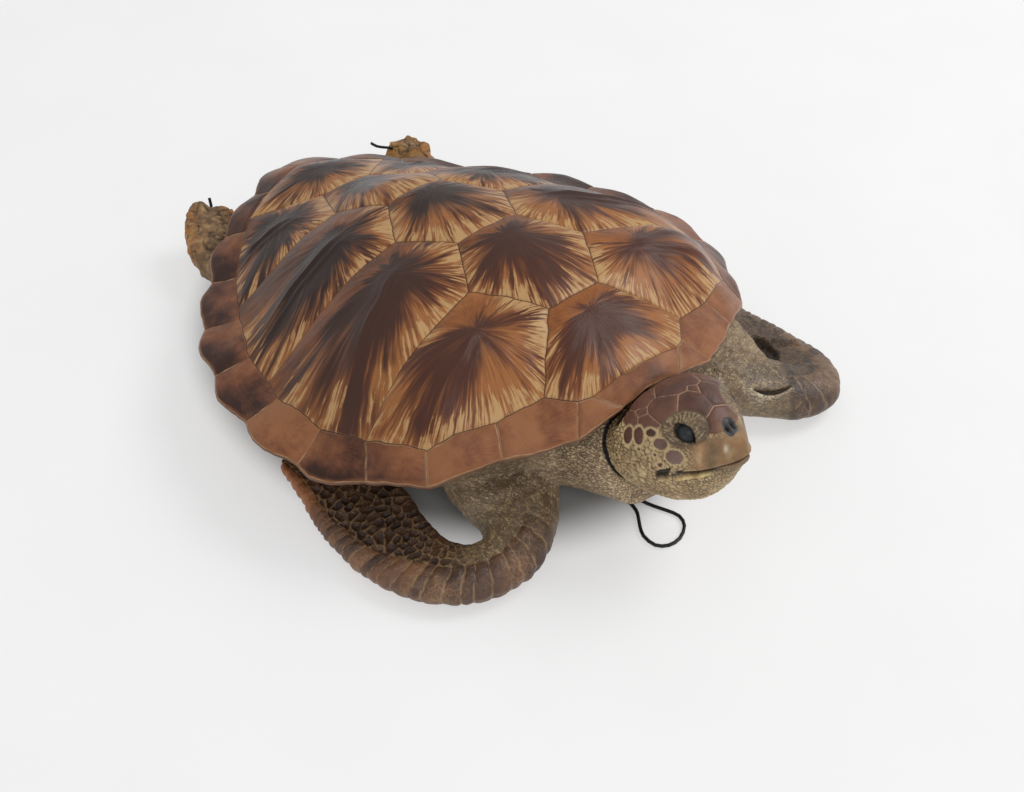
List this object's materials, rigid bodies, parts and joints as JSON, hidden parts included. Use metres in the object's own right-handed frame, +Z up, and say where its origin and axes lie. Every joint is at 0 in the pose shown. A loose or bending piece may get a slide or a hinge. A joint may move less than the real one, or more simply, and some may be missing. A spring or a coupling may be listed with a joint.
{
  "type": "dried sea turtle specimen",
  "caption": "Dried and mounted young sea turtle with a varnished scuted shell, resting on its belly, flippers folded back, head raised.",
  "frame": {"origin": "on the flat underside of the lower shell, below the middle of the upper shell", "axes": "+Z up, -Y towards the head, +X towards the animal's left side"},
  "size_m": [0.2779, 0.369, 0.1032],
  "materials": {
    "carapace_horn": "varnished brown horn with ochre fan streaks",
    "plastron_horn": "plain yellow-brown horn",
    "body_skin": "dried wrinkled skin",
    "head_scales": "varnished scales and dried skin",
    "flipper_skin": "dried scaly skin",
    "eye_glass": "dark slate",
    "black_wire": "black iron wire"
  },
  "bodies": {
    "root": {"carapace": "carapace_horn", "plastron": "plastron_horn", "body": "body_skin", "head": "head_scales", "front_flipper_right": "flipper_skin", "front_flipper_left": "flipper_skin", "hind_flipper_right": "flipper_skin", "hind_flipper_left": "flipper_skin", "eye_right": "eye_glass", "eye_left": "eye_glass", "hanging_wire_loop": "black_wire", "wire_end_right": "black_wire", "wire_end_left": "black_wire"}
  },
  "joints": []
}
